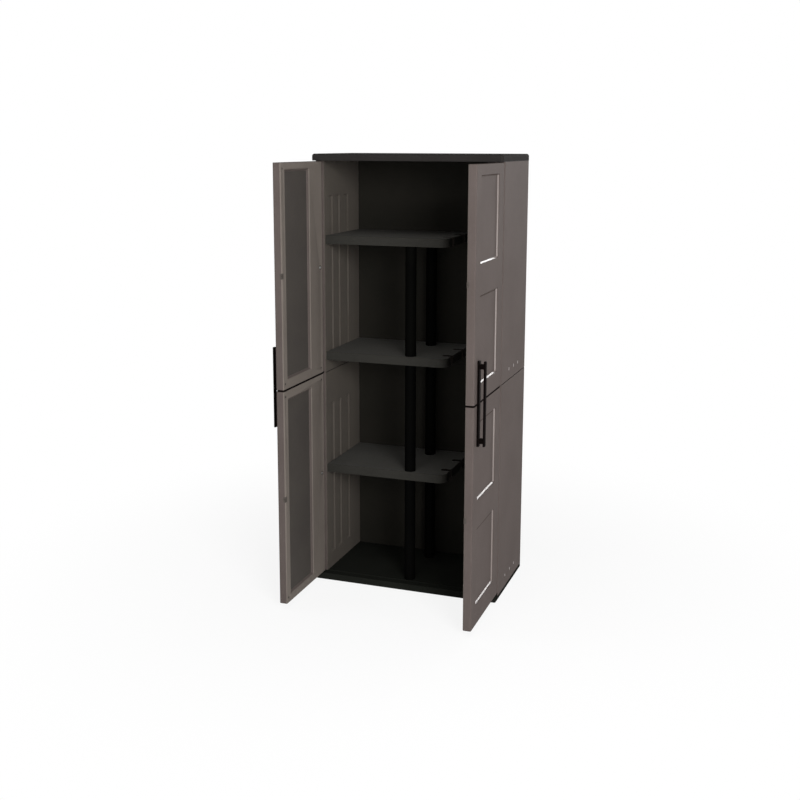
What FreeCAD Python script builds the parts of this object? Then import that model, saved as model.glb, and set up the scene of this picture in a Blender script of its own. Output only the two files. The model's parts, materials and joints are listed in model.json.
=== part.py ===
import FreeCAD, Part
import math
import os

os.makedirs("parts", exist_ok=True)

# Garden storage cabinet with two doors, standing open at a right angle.
# Millimetres: X to the right, Y to the back, Z up.
# The origin is the middle of the base's underside, at floor level.

# Driving dimensions of the whole cabinet
width = 720.0
depth = 395.0
height = 1635.0
base_height = 25.0
lid_height = 25.0
seam_height = 816.0
skin = 3.0
rib = 2.4
seam_bevel = 2.0
wall_depth = 36.0
back_setback = 372.0
side_ledge = 14.0

# Doors and their pivots
door_thickness = 30.0
door_width = 358.0
door_side_gap = 2.0
door_end_gap = 2.5
half_gap = 6.0
pivot_radius = 4.0
pivot_clearance = 0.05
pivot_reach = 12.0
pivot_hold = 26.0
door_corner = 5.0
edge_bevel = 2.5

# Shelves, the posts under them and the open space beside them
shelf_tops = (455.0, 895.0, 1335.0)
shelf_thickness = 32.0
shelf_width = 474.0
shelf_setback = 36.0
shelf_corner = 35.0
deck = 3.0
post_radius = 20.5
post_wall = 2.5
post_x = 5.0
post_length = 426.0
post_setbacks = (61.0, 305.5)
socket_play = 0.15
socket_wall = 3.0
shelf_socket_depth = 9.0

# How far a cutting shape reaches past a surface, or a joined piece reaches into one
past = 1.0

# A sunk panel's cutting shape stands this far out of the face it is cut in
panel_lip = 0.5

# Places that the other dimensions follow from
front = -depth / 2
back = depth / 2
half = width / 2
lid_underside = height - lid_height
carcass_front = front + door_thickness + door_side_gap
wall_face = half - wall_depth
back_face = front + back_setback
pivot_inset = door_thickness / 2
pivot_x = half - pivot_inset
pivot_y = front + pivot_inset
hinge_edge_y = front + door_thickness
free_edge_y = hinge_edge_y - door_width
door_outer_x = half
door_inner_x = half - door_thickness
door_bottom = base_height + door_end_gap
door_top = lid_underside - door_end_gap
lower_top = seam_height - half_gap / 2
upper_bottom = seam_height + half_gap / 2
shelf_left = -wall_face
shelf_right = shelf_left + shelf_width
shelf_front = front + shelf_setback
post_ys = tuple(front + setback for setback in post_setbacks)


def block(x0, x1, y0, y1, z0, z1):
    corner = FreeCAD.Vector(x0, y0, z0)
    return Part.makeBox(x1 - x0, y1 - y0, z1 - z0, corner)


def upright(radius, x, y, z0, z1):
    return Part.makeCylinder(radius, z1 - z0, FreeCAD.Vector(x, y, z0))


def across(radius, x0, x1, y, z):
    start = FreeCAD.Vector(x0, y, z)
    return Part.makeCylinder(radius, x1 - x0, start, FreeCAD.Vector(1, 0, 0))


def arc(start, middle, end):
    points = [FreeCAD.Vector(*point) for point in (start, middle, end)]
    return Part.Arc(*points).toShape()


def line(start, end):
    return Part.makeLine(FreeCAD.Vector(*start), FreeCAD.Vector(*end))


def rounded_rectangle(a0, a1, b0, b1, radius, place):
    """Closed wire with four round corners; place turns (a, b) into a point."""
    bend = radius * (1 - math.sqrt(0.5))
    corners = (
        ((a1 - radius, b0), (a1 - bend, b0 + bend), (a1, b0 + radius)),
        ((a1, b1 - radius), (a1 - bend, b1 - bend), (a1 - radius, b1)),
        ((a0 + radius, b1), (a0 + bend, b1 - bend), (a0, b1 - radius)),
        ((a0, b0 + radius), (a0 + bend, b0 + bend), (a0 + radius, b0)),
    )
    edges = []
    for index, (start, middle, end) in enumerate(corners):
        edges.append(arc(place(*start), place(*middle), place(*end)))
        following = corners[(index + 1) % 4][0]
        edges.append(line(place(*end), place(*following)))
    return Part.Wire(edges)


def rounded_slab(x0, x1, y0, y1, z0, z1, radius):
    """Block with round upright corners."""
    outline = rounded_rectangle(x0, x1, y0, y1, radius, lambda x, y: (x, y, z0))
    return Part.Face(outline).extrude(FreeCAD.Vector(0, 0, z1 - z0))


def edges_where(shape, test):
    """Edges of a solid whose bounding box passes a test."""
    return [edge for edge in shape.Edges if test(edge.BoundBox)]


def edges_at_height(shape, z):
    """Edges of a solid that lie wholly at one height."""
    return edges_where(shape, lambda box: abs(box.ZMin - z) < 0.01 and abs(box.ZMax - z) < 0.01)


def sunk_panel(x_face, x_floor, y0, y1, z0, z1):
    """Panel shape sunk in a face at constant X, whose sides slope in at 45 degrees."""
    depth_in = abs(x_floor - x_face)
    outward = math.copysign(panel_lip, x_face - x_floor)
    x0, x1 = sorted((x_face + outward, x_floor))
    body = block(x0, x1, y0, y1, z0, z1)
    floor_edges = edges_where(
        body,
        lambda box: abs(box.XMin - x_floor) < 0.01 and abs(box.XMax - x_floor) < 0.01,
    )
    return body.makeChamfer(depth_in, floor_edges)


def mirrored(shape):
    return shape.mirror(FreeCAD.Vector(0, 0, 0), FreeCAD.Vector(1, 0, 0))


def save(shape, name):
    shape.exportStep("parts/" + name + ".step")


# Clips hold each side panel on the piece below it and show in its windows.
clip_ys = (front + 145.0, front + 215.0, front + 280.0)
clip_width = 24.0
clip_rise = 50.0
clip_thickness = 3.0
clip_foot = 6.0
clip_foot_height = 3.0
bump_width = 12.0
bump_height = 12.0
bump_below_top = 4.0
bump_setback = 0.6
bump_slope = 1.5
clip_play = 0.2
bump_root = 0.5


def clip(y, seat_z):
    """Right-hand clip: a foot under the web, an upright tongue and a bump near its top."""
    face = half - skin - clip_play
    y0 = y - clip_width / 2
    y1 = y + clip_width / 2
    web_underside = seat_z - skin
    foot_z = web_underside - clip_foot_height
    tongue = block(face - clip_thickness, face, y0, y1, foot_z, seat_z + clip_rise)
    foot = block(face - clip_foot, face, y0, y1, foot_z, web_underside)
    bump_top = seat_z + clip_rise - bump_below_top
    bump = block(
        face - bump_root,
        half - bump_setback,
        y - bump_width / 2,
        y + bump_width / 2,
        bump_top - bump_height,
        bump_top,
    )
    slope_edges = edges_where(
        bump,
        lambda box: box.ZMin > bump_top - 0.01 and box.XMin > face + bump_root,
    )
    return tongue.fuse(foot).fuse(bump.makeChamfer(bump_slope, slope_edges))


def clip_slots(seat_z):
    """Slots for the clips, through the web under a seam and the web over it."""
    face = half - skin
    slots = None
    for y in clip_ys:
        slot = block(
            face - clip_thickness - 2 * clip_play,
            face,
            y - clip_width / 2 - clip_play,
            y + clip_width / 2 + clip_play,
            seat_z - skin - past,
            seat_z + skin + past,
        )
        slots = slot if slots is None else slots.fuse(slot)
    return slots


def clip_windows(seat_z):
    bump_top = seat_z + clip_rise - bump_below_top
    windows = None
    for y in clip_ys:
        window = block(
            half - skin - past,
            half + past,
            y - bump_width / 2 - clip_play,
            y + bump_width / 2 + clip_play,
            bump_top - bump_height - clip_play,
            bump_top + clip_play,
        )
        windows = window if windows is None else windows.fuse(window)
    return windows


def build_clips():
    for level, seat_z in (("base", side_ledge), ("seam", seam_height)):
        clips = Part.makeCompound([clip(y, seat_z) for y in clip_ys])
        save(clips, "clips_" + level + "_right")
        save(mirrored(clips), "clips_" + level + "_left")


# Middle hinge plates lie in the seam and reach forward to the pivots.
plate_thickness = 5.0
plate_width = 26.0
plate_tail = 46.0
plate_pad = 8.0
plate_seat = 4.0


def hinge_plate():
    """Right-hand plate: a round eye in front and a tail held between the side panels."""
    z0 = seam_height - plate_thickness / 2
    z1 = seam_height + plate_thickness / 2
    eye = upright(plate_width / 2, pivot_x, pivot_y, z0, z1)
    tail = block(
        pivot_x - plate_width / 2,
        pivot_x + plate_width / 2 - skin,
        pivot_y,
        carcass_front + plate_tail,
        z0,
        z1,
    )
    bore = upright(pivot_radius + pivot_clearance, pivot_x, pivot_y, z0 - past, z1 + past)
    return eye.fuse(tail).removeSplitter().cut(bore)


wall_corner = 5.0
wall_rib_depth = 10.0


def side_shell(z0, z1):
    """Right-hand outer half of a side wall: a deep tray that opens towards the inside."""
    shell_face = wall_face + skin
    body = block(shell_face, half, carcass_front, back, z0, z1)
    upright_edges = edges_where(body, lambda box: box.ZLength > skin and box.XMin > half - skin)
    body = body.makeFillet(wall_corner, upright_edges)
    seam_edges = [
        edge for edge in edges_at_height(body, seam_height) if edge.BoundBox.XMax > shell_face + skin
    ]
    body = body.makeChamfer(seam_bevel, seam_edges)
    hollow = block(
        shell_face - past,
        half - skin,
        carcass_front + skin,
        back - skin,
        z0 + skin,
        z1 - skin,
    )
    body = body.cut(hollow)
    for share in (0.25, 0.75):
        y = carcass_front + share * (back - carcass_front)
        body = body.fuse(
            block(
                half - skin - wall_rib_depth,
                half - skin,
                y - rib / 2,
                y + rib / 2,
                z0 + skin,
                z1 - skin,
            )
        )
    return body


# Upright channels stiffen the inner face of each side wall.
channel_depth = 4.0
channel_width = 40.0
channel_setbacks = (89.0, 157.0, 243.0)
channel_bottom = 70.0
channel_top = 130.0
liner_seam_bevel = 1.5
backing_margin = 2.0


def backed_panel(x_face, x_floor, y0, y1, z0, z1):
    """The sunk panel's shape and the thicker shape behind it that keeps the wall even."""
    inward = math.copysign(1.0, x_floor - x_face)
    backing = sunk_panel(
        x_face + inward * past,
        x_floor + inward * skin,
        y0 - backing_margin,
        y1 + backing_margin,
        z0 - backing_margin,
        z1 + backing_margin,
    )
    return sunk_panel(x_face, x_floor, y0, y1, z0, z1), backing


def side_liner(z0, z1):
    """Right-hand inner half of a side wall: a sheet with channels, which closes the shell."""
    body = block(wall_face, wall_face + skin, carcass_front, back, z0, z1)
    seam_edges = [
        edge for edge in edges_at_height(body, seam_height) if edge.BoundBox.XMax < wall_face + 0.01
    ]
    body = body.makeChamfer(liner_seam_bevel, seam_edges)
    low = z0 + channel_bottom
    high = z1 - channel_top
    for setback in channel_setbacks:
        y0 = front + setback - channel_width / 2
        y1 = y0 + channel_width
        channel, backing = backed_panel(wall_face, wall_face + channel_depth, y0, y1, low, high)
        body = body.fuse(backing).cut(channel)
    return body


ledge_reach = 14.0
ledge_height = 10.0
ledge_lip = 4.0
ledge_front_setback = 40.0
ledge_rear_setback = 20.0


def wall_ledge(top_z):
    """Right-hand moulded ledge with a sloped underside, which carries a shelf's end."""
    y0 = carcass_front + ledge_front_setback
    y1 = back_face - ledge_rear_setback
    profile = Part.makePolygon(
        [
            FreeCAD.Vector(wall_face + past, y0, top_z),
            FreeCAD.Vector(wall_face - ledge_reach, y0, top_z),
            FreeCAD.Vector(wall_face - ledge_reach, y0, top_z - ledge_lip),
            FreeCAD.Vector(wall_face, y0, top_z - ledge_lip - ledge_height),
            FreeCAD.Vector(wall_face + past, y0, top_z - ledge_lip - ledge_height),
            FreeCAD.Vector(wall_face + past, y0, top_z),
        ]
    )
    return Part.Face(profile).extrude(FreeCAD.Vector(0, y1 - y0, 0))


def build_sides():
    """The four wall halves, each an outer shell and an inner liner."""
    lower = side_shell(side_ledge, seam_height)
    upper = side_shell(seam_height, lid_underside)
    lower = lower.cut(clip_slots(side_ledge)).cut(clip_windows(side_ledge))
    lower = lower.cut(clip_slots(seam_height))
    upper = upper.cut(clip_slots(seam_height)).cut(clip_windows(seam_height))
    plate_bed = hinge_plate()
    pad_back = carcass_front + plate_tail + plate_seat
    for sign in (-1, 1):
        low, high = sorted((seam_height, seam_height + sign * plate_pad))
        pad = block(wall_face + skin, half - past, carcass_front + past, pad_back, low, high)
        if sign < 0:
            lower = lower.fuse(pad).cut(plate_bed)
        else:
            upper = upper.fuse(pad).cut(plate_bed)
    lower_liner = side_liner(side_ledge, seam_height)
    upper_liner = side_liner(seam_height, lid_underside)
    undersides = [top - shelf_thickness for top in shelf_tops]
    left_lower_liner = lower_liner.fuse(wall_ledge(undersides[0]))
    left_upper_liner = upper_liner.fuse(wall_ledge(undersides[1])).fuse(wall_ledge(undersides[2]))
    save(lower, "side_lower_right")
    save(upper, "side_upper_right")
    save(mirrored(lower), "side_lower_left")
    save(mirrored(upper), "side_upper_left")
    save(lower_liner, "liner_lower_right")
    save(upper_liner, "liner_upper_right")
    save(mirrored(left_lower_liner), "liner_lower_left")
    save(mirrored(left_upper_liner), "liner_upper_left")


def build_hinge_plates():
    plate = hinge_plate()
    save(plate, "hinge_plate_right")
    save(mirrored(plate), "hinge_plate_left")


# Base tray: a deck with a skirt, ribs under it, post sockets and pivot bosses.
base_corner = 6.0
base_cup_depth = 19.0
rim_height = 2.0
rim_width = 5.0
rim_round = 1.0
side_play = 0.6
boss_radius = 9.0
boss_bottom = 2.0


def post_socket(y, bottom_z, top_z):
    """Plain cup around a post; the bore is cut by post_bore."""
    return upright(post_radius + socket_play + socket_wall, post_x, y, bottom_z, top_z)


def post_bore(y, bottom_z, top_z):
    return upright(post_radius + socket_play, post_x, y, bottom_z, top_z)


def build_base():
    deck_z = base_height
    tray = rounded_slab(-half, half, front, back, 0.0, deck_z, base_corner)
    for side in (-1, 1):
        x0, x1 = sorted((side * wall_face, side * (half + past)))
        seat_front = carcass_front - side_play
        tray = tray.cut(block(x0, x1, seat_front, back + past, side_ledge, deck_z + past))
    tray = tray.cut(block(-wall_face, wall_face, back_face, back + past, side_ledge, deck_z + past))
    pocket_front = block(-half + skin, half - skin, front + skin, carcass_front, -past, deck_z - skin)
    pocket_rear = block(
        -half + skin,
        half - skin,
        front + skin,
        back - skin,
        -past,
        side_ledge - skin,
    )
    pocket_middle = block(
        -wall_face + skin,
        wall_face - skin,
        front + skin,
        back_face - skin,
        -past,
        deck_z - skin,
    )
    tray = tray.cut(pocket_front.fuse(pocket_rear).fuse(pocket_middle))
    for share in (-0.5, 0.0, 0.5):
        x = share * wall_face
        upright_rib = block(
            x - rib / 2,
            x + rib / 2,
            front + past,
            back_face - past,
            0.0,
            deck_z - past,
        )
        tray = tray.fuse(upright_rib)
    for share in (-0.25, 0.0, 0.25):
        y = share * depth
        ends = half - past
        middle = wall_face - past
        tray = tray.fuse(block(-ends, ends, y - rib / 2, y + rib / 2, 0.0, side_ledge - past))
        tray = tray.fuse(block(-middle, middle, y - rib / 2, y + rib / 2, 0.0, deck_z - past))
    for y in post_ys:
        bottom = deck_z - base_cup_depth - skin
        tray = tray.fuse(post_socket(y, bottom, deck_z))
    for side in (-1, 1):
        tray = tray.fuse(upright(boss_radius, side * pivot_x, pivot_y, boss_bottom, deck_z))
    rim_top = deck_z + rim_height
    rim = block(
        -wall_face,
        wall_face,
        carcass_front,
        carcass_front + rim_width,
        deck_z - past,
        rim_top,
    )
    round_edges = [edge for edge in edges_at_height(rim, rim_top) if edge.BoundBox.XLength > rim_width]
    tray = tray.fuse(rim.makeFillet(rim_round, round_edges))
    for y in post_ys:
        tray = tray.cut(post_bore(y, deck_z - base_cup_depth, deck_z + past))
    for side in (-1, 1):
        bore_radius = pivot_radius + pivot_clearance
        bore_bottom = deck_z - pivot_reach
        tray = tray.cut(upright(bore_radius, side * pivot_x, pivot_y, bore_bottom, deck_z + past))
    slots = clip_slots(side_ledge)
    tray = tray.cut(slots).cut(mirrored(slots))
    save(tray, "base")


# Lid: a shallow tray upside down, with soft edges and ribs under it.
lid_overhang = 1.5
lid_corner = 12.0
lid_edge = 9.0
lid_inner_slope = 4.0
lid_rib_gap = 6.0


def build_lid():
    z0 = lid_underside
    cover = rounded_slab(
        -half - lid_overhang,
        half + lid_overhang,
        front - lid_overhang,
        back + lid_overhang,
        z0,
        height,
        lid_corner,
    )
    cover = cover.makeFillet(lid_edge, edges_at_height(cover, height))
    inner = rounded_slab(
        -half + skin,
        half - skin,
        front + skin,
        back - skin,
        z0 - past,
        height - skin,
        lid_corner - skin,
    )
    inner = inner.makeChamfer(lid_inner_slope, edges_at_height(inner, height - skin))
    cover = cover.cut(inner)
    rib_bottom = z0 + lid_rib_gap
    rib_top = height - skin + past
    for share in (-0.25, 0.0, 0.25):
        x = share * width
        y0 = front + past
        y1 = back - past
        cover = cover.fuse(block(x - rib / 2, x + rib / 2, y0, y1, rib_bottom, rib_top))
    for share in (-0.25, 0.0, 0.25):
        y = share * depth
        ends = half - past
        cover = cover.fuse(block(-ends, ends, y - rib / 2, y + rib / 2, rib_bottom, rib_top))
    seat = wall_depth - skin
    for side in (-1, 1):
        x0, x1 = sorted((side * (half - past), side * (half - seat)))
        flange = block(x0, x1, carcass_front, back - past, z0, z0 + skin)
        cover = cover.fuse(flange)
        boss = upright(boss_radius, side * pivot_x, pivot_y, z0, rib_top)
        bore_radius = pivot_radius + pivot_clearance
        bore = upright(bore_radius, side * pivot_x, pivot_y, z0 - past, z0 + pivot_reach)
        cover = cover.fuse(boss).cut(bore)
    save(cover, "lid")


# Back wall: two trays that open to the rear, with upright and level ribs.
back_flange = 18.0
back_bays = 6
upright_rib_depth = 12.0
level_rib_depth = 8.0
back_ledge_reach = 10.0
back_ledge_height = 8.0
back_ledge_margin = 30.0
back_ledge_slope = 6.0


def back_panel(z0, z1, ledge_tops):
    x = wall_face
    body = block(-x, x, back_face, back_face + back_flange, z0, z1)
    seam_edges = [
        edge for edge in edges_at_height(body, seam_height) if edge.BoundBox.YMax < back_face + 0.01
    ]
    body = body.makeChamfer(liner_seam_bevel, seam_edges)
    body = body.cut(block(-x + skin, x - skin, back_face + skin, back + past, z0 + skin, z1 - skin))
    rib_front = back_face + past
    for index in range(1, back_bays):
        rib_x = -x + 2 * x * index / back_bays
        rib_back = back_face + upright_rib_depth
        body = body.fuse(
            block(rib_x - rib / 2, rib_x + rib / 2, rib_front, rib_back, z0 + past, z1 - past)
        )
    for share in (0.25, 0.5, 0.75):
        rib_z = z0 + share * (z1 - z0)
        rib_back = back_face + level_rib_depth
        body = body.fuse(
            block(-x + past, x - past, rib_front, rib_back, rib_z - rib / 2, rib_z + rib / 2)
        )
    for top in ledge_tops:
        ledge_front = back_face - back_ledge_reach
        ledge = block(
            -x + back_ledge_margin,
            shelf_right - back_ledge_margin,
            ledge_front,
            rib_front,
            top - back_ledge_height,
            top,
        )
        lower_edges = [
            edge
            for edge in edges_at_height(ledge, top - back_ledge_height)
            if edge.BoundBox.YMax < ledge_front + 0.01
        ]
        body = body.fuse(ledge.makeChamfer(back_ledge_slope, lower_edges))
    return body


def build_back():
    undersides = [top - shelf_thickness for top in shelf_tops]
    save(back_panel(side_ledge, seam_height, undersides[:1]), "back_lower")
    save(back_panel(seam_height, lid_underside, undersides[1:]), "back_upper")


# Joining strip clipped over the seam of the back wall, behind it.
strip_reach = 16.0
strip_end_gap = 8.0
strip_round = 1.5


def build_back_strip():
    strip_y = back_face + back_flange
    plate = block(
        -wall_face + strip_end_gap,
        wall_face - strip_end_gap,
        strip_y,
        strip_y + skin,
        seam_height - strip_reach,
        seam_height + strip_reach,
    )
    long_edges = edges_where(
        plate,
        lambda box: box.XLength > strip_reach and box.YMin > strip_y + skin - 0.01,
    )
    save(plate.makeFillet(strip_round, long_edges), "back_strip")


# Shelves: a deck in a rim, with open-ended slots for broom handles.
slot_width = 28.0
slot_reach = 38.0
slot_setbacks = (112.0, 250.0)
slot_neck = 22.0
shelf_rib_height = 12.0
shelf_rear_corner = 12.0
shelf_edge_bevel = 1.5
shelf_play = 0.3
slot_collar = 3.0


def shelf_outline(inset, z):
    """Plan of a shelf: square at the wall, round at the free front corner."""
    x0 = shelf_left + inset
    x1 = shelf_right - inset
    y0 = shelf_front + inset
    y1 = back_face - inset
    front_radius = shelf_corner - inset
    rear_radius = shelf_rear_corner - inset
    front_bend = front_radius * (1 - math.sqrt(0.5))
    rear_bend = rear_radius * (1 - math.sqrt(0.5))
    edges = [
        line((x0, y0, z), (x1 - front_radius, y0, z)),
        arc(
            (x1 - front_radius, y0, z),
            (x1 - front_bend, y0 + front_bend, z),
            (x1, y0 + front_radius, z),
        ),
        line((x1, y0 + front_radius, z), (x1, y1 - rear_radius, z)),
        arc(
            (x1, y1 - rear_radius, z),
            (x1 - rear_bend, y1 - rear_bend, z),
            (x1 - rear_radius, y1, z),
        ),
        line((x1 - rear_radius, y1, z), (x0, y1, z)),
        line((x0, y1, z), (x0, y0, z)),
    ]
    return Part.Face(Part.Wire(edges))


def keyhole(y, grow, z0, z1):
    """Slot open at the shelf's end, a little narrower at its mouth than at its round seat."""
    radius = slot_width / 2 + grow
    seat_x = shelf_right - slot_reach + slot_width / 2
    seat = upright(radius, seat_x, y, z0, z1)
    neck = slot_neck / 2 + grow
    mouth = block(seat_x, shelf_right + past, y - neck, y + neck, z0, z1)
    return seat.fuse(mouth)


def shelf(top, with_upper_sockets):
    bottom = top - shelf_thickness
    rise = FreeCAD.Vector(0, 0, shelf_thickness)
    blank = shelf_outline(shelf_play, bottom).extrude(rise)
    body = blank.makeChamfer(shelf_edge_bevel, edges_at_height(blank, top))
    hollow = shelf_outline(shelf_play + skin, bottom - deck).extrude(rise)
    body = body.cut(hollow)
    rib_bottom = top - shelf_rib_height
    rib_top = top - deck + past
    for index in range(1, 4):
        x = shelf_left + shelf_width * index / 4
        body = body.fuse(
            block(x - rib / 2, x + rib / 2, shelf_front + past, back_face - past, rib_bottom, rib_top)
        )
    for index in range(1, 3):
        y = shelf_front + (back_face - shelf_front) * index / 3
        body = body.fuse(
            block(shelf_left + past, shelf_right - past, y - rib / 2, y + rib / 2, rib_bottom, rib_top)
        )
    for setback in slot_setbacks:
        y = front + setback
        collar = keyhole(y, slot_collar, bottom, rib_top).common(blank)
        body = body.fuse(collar).cut(keyhole(y, 0.0, bottom - past, top + past))
    for y in post_ys:
        body = body.fuse(post_socket(y, bottom, rib_top))
        body = body.cut(post_bore(y, bottom - past, bottom + shelf_socket_depth))
        if with_upper_sockets:
            body = body.cut(post_bore(y, top - shelf_socket_depth, top + past))
        else:
            core = upright(post_radius - socket_wall, post_x, y, bottom - past, top - deck)
            body = body.cut(core)
    return body


def build_shelves():
    names = ("shelf_lower", "shelf_middle", "shelf_upper")
    for name, top in zip(names, shelf_tops):
        save(shelf(top, top < shelf_tops[-1]), name)


def build_posts():
    """Two columns of three equal tubes, one between each pair of levels."""
    foot_levels = (
        base_height - base_cup_depth,
        shelf_tops[0] - shelf_socket_depth,
        shelf_tops[1] - shelf_socket_depth,
    )
    for column, y in zip(("front", "rear"), post_ys):
        for level, foot in zip(("lower", "middle", "upper"), foot_levels):
            tube = upright(post_radius, post_x, y, foot, foot + post_length)
            head = foot + post_length
            bore = upright(post_radius - post_wall, post_x, y, foot - past, head + past)
            save(tube.cut(bore), "post_" + column + "_" + level)


# Door halves: an outer shell with two recessed panels and an inner skin with one.
recess_depth = 7.0
recess_near_hinge = 72.0
recess_near_edge = 303.0
inner_recess_depth = 9.0
inner_recess_near_hinge = 118.0
inner_recess_near_edge = 326.0
lower_panels = ((101.0, 378.0), (478.0, 752.0))
upper_panels = ((880.0, 1180.0), (1284.0, 1572.0))
lower_inner_panel = (51.5, 783.0)
upper_inner_panel = (849.0, 1585.5)
screw_from_hinge = 30.0
screw_from_edge = 15.0
screw_end_offset = 20.0
screw_head_radius = 4.0
screw_head_depth = 2.0
screw_shank_radius = 1.8
screw_length = 16.0
screw_sink = 0.4
screw_play = 0.2
screw_boss_size = 5.0
bolt_boss_size = 6.0
pivot_boss_radius = 13.0
bolt_heights = (427.0, 1218.0)
bolt_radius = 5.0
bolt_taper = 1.0
bolt_seat = 2.2
washer_radius = 7.5
washer_thickness = 1.0
bolt_head_height = 2.0


def along_door(distance):
    """Y of a place on the open door, measured from its hinge edge."""
    return hinge_edge_y - distance


def door_plan(inset, z):
    """Plan of an open door: half round at the pivot, soft corners at the free edge."""
    outer = door_outer_x - inset
    inner = door_inner_x + inset
    end = free_edge_y + inset
    radius = door_corner - inset / 2
    bend = radius * (1 - math.sqrt(0.5))
    round_end = pivot_y + pivot_inset - inset
    edges = [
        line((outer, pivot_y, z), (outer, end + radius, z)),
        arc(
            (outer, end + radius, z),
            (outer - bend, end + bend, z),
            (outer - radius, end, z),
        ),
        line((outer - radius, end, z), (inner + radius, end, z)),
        arc(
            (inner + radius, end, z),
            (inner + bend, end + bend, z),
            (inner, end + radius, z),
        ),
        line((inner, end + radius, z), (inner, pivot_y, z)),
        arc((inner, pivot_y, z), (pivot_x, round_end, z), (outer, pivot_y, z)),
    ]
    return Part.Face(Part.Wire(edges))


def door_blank(z0, z1):
    blank = door_plan(0.0, z0).extrude(FreeCAD.Vector(0, 0, z1 - z0))
    return blank.makeChamfer(edge_bevel, edges_at_height(blank, z0) + edges_at_height(blank, z1))


def screw_places(z0, z1):
    """Screws of a door half, as (distance from hinge edge, height): one is beside the seam pivot."""
    seam_end = z0 if z0 > seam_height else z1
    toward_middle = screw_end_offset if z0 > seam_height else -screw_end_offset
    far = door_width - screw_from_edge
    return [
        (far, z0 + screw_end_offset),
        (far, z1 - screw_end_offset),
        (screw_from_hinge, seam_end + toward_middle),
    ]


# The catch blocks sit in a pocket at the inner corner of the free edge.
catch_heights = (420.0, 1220.0)
catch_height = 20.0
catch_depth = 9.0
catch_reach = 12.0
dimple_radius = 3.4
dimple_offset = -0.6
stud_radius = 3.0
stud_offset = 1.4


def catch_block(z):
    return block(
        door_inner_x,
        door_inner_x + catch_depth,
        free_edge_y,
        free_edge_y + catch_reach,
        z - catch_height / 2,
        z + catch_height / 2,
    )


# The joiner ties the two halves of a door together, and its strip closes the gap between them
# up to the sweep of the hinge plate.
joiner_width = 15.0
joiner_depth = 14.0
joiner_reach = 38.0
joiner_play = 0.2
strip_clearance = 3.0


def joiner_block(play):
    y = along_door(door_width - screw_from_edge)
    inner = door_inner_x + skin
    return block(
        inner - play,
        inner + joiner_depth + play,
        y - joiner_width / 2 - play,
        y + joiner_width / 2 + play,
        seam_height - joiner_reach,
        seam_height + joiner_reach,
    )


def joiner_strip():
    return block(
        door_inner_x + skin,
        door_outer_x - skin,
        free_edge_y + skin,
        pivot_y - plate_width / 2 - strip_clearance,
        lower_top,
        upper_bottom,
    )


# Handles: a rail on the door, a grip bar in front of it and two arms between.
handle_middle = 818.0
handle_length = 292.0
handle_width = 16.0
handle_from_hinge = 314.0
rail_thickness = 8.0
grip_thickness = 8.0
handle_projection = 29.0
arm_height = 17.0
arm_offset = 127.0
arm_side_gap = 1.5
peg_radius = 4.0
peg_offset = 100.0
handle_bevel = 1.5
grip_end_gap = 1.0
grip_round = 3.0
arm_bevel = 2.0


def handle():
    y = along_door(handle_from_hinge)
    y0 = y - handle_width / 2
    y1 = y + handle_width / 2
    z0 = handle_middle - handle_length / 2
    z1 = handle_middle + handle_length / 2
    rail = block(half, half + rail_thickness, y0, y1, z0, z1)
    rail_edges = edges_where(rail, lambda box: box.XMin > half + past)
    rail = rail.makeChamfer(handle_bevel, rail_edges)
    grip_x = half + handle_projection - grip_thickness
    grip = block(
        grip_x,
        grip_x + grip_thickness,
        y0,
        y1,
        z0 + grip_end_gap,
        z1 - grip_end_gap,
    )
    long_edges = edges_where(grip, lambda box: box.ZLength > handle_width)
    grip = grip.makeFillet(grip_round, long_edges)
    body = rail.fuse(grip)
    for side in (-1, 1):
        arm_z = handle_middle + side * arm_offset
        arm = block(
            half + rail_thickness / 2,
            grip_x + grip_thickness / 2,
            y0 + arm_side_gap,
            y1 - arm_side_gap,
            arm_z - arm_height / 2,
            arm_z + arm_height / 2,
        )
        arm_edges = edges_where(arm, lambda box: box.XLength > arm_bevel)
        body = body.fuse(arm.makeChamfer(arm_bevel, arm_edges))
        peg = across(peg_radius, half - skin, half + past, y, handle_middle + side * peg_offset)
        body = body.fuse(peg)
    return body


def inner_slice(z0, z1):
    """The layer of a door half that its inner skin takes up."""
    return block(
        door_inner_x - past,
        door_inner_x + skin,
        free_edge_y - past,
        hinge_edge_y + past,
        z0 - past,
        z1 + past,
    )


def screw_boss(size, y, z):
    """Square boss inside a shell, with a pilot hole for a screw or bolt."""
    boss_start = door_inner_x + skin
    boss = block(boss_start, door_outer_x - past, y - size, y + size, z - size, z + size)
    pilot = across(screw_shank_radius, boss_start - past, boss_start + screw_length, y, z)
    return boss, pilot


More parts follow.
